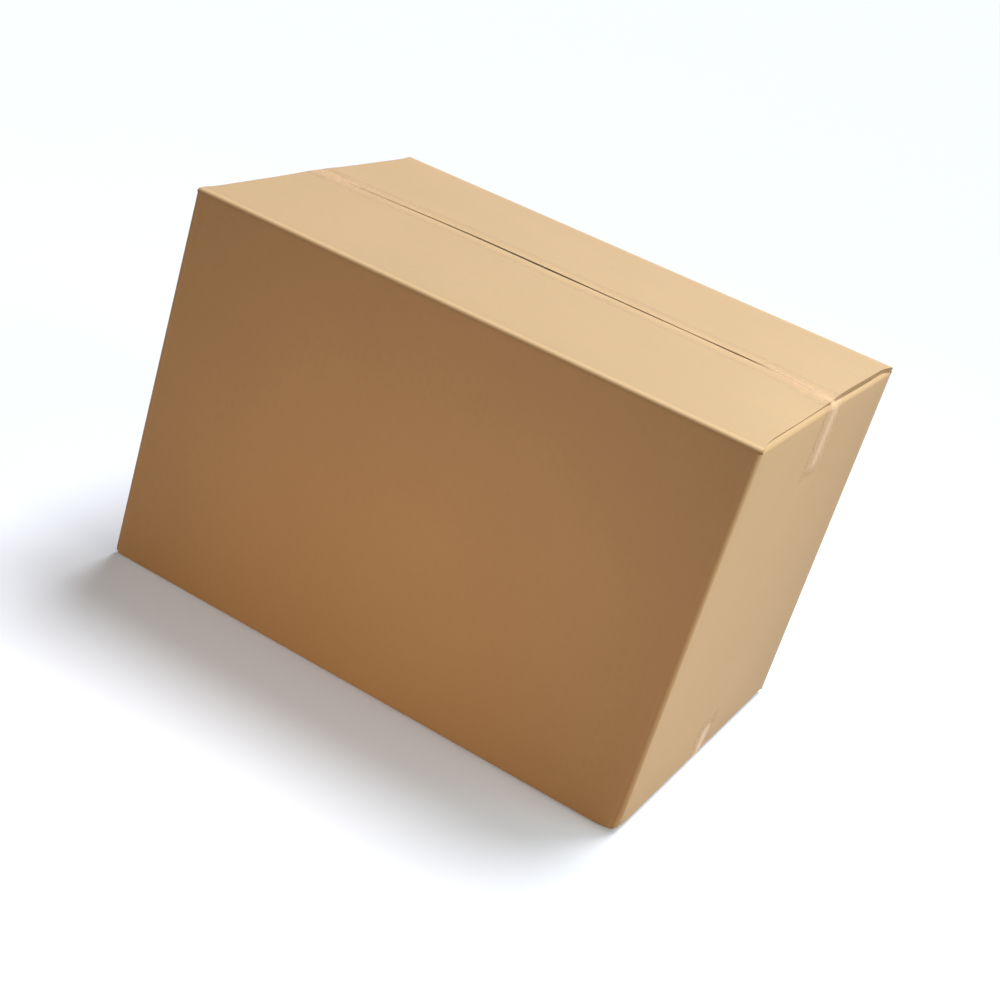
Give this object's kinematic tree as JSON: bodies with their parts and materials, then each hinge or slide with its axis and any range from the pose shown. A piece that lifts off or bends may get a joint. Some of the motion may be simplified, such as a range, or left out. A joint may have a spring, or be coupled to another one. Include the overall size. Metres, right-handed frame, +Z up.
{
  "type": "closed cardboard box",
  "caption": "Closed rectangular shipping carton of corrugated board, its long flaps taped shut along the middle of the top and the bottom.",
  "frame": {"origin": "middle of the footprint, on the surface that the carton stands on", "axes": "+X along the length, +Y from the front wall to the back wall, +Z up"},
  "size_m": [0.6, 0.4, 0.4061],
  "materials": {
    "kraft_board": "matt kraft liner",
    "clear_tape": "glossy clear film"
  },
  "bodies": {
    "root": {"carton": "kraft_board", "top_tape": "clear_tape", "bottom_tape": "clear_tape"}
  },
  "joints": []
}
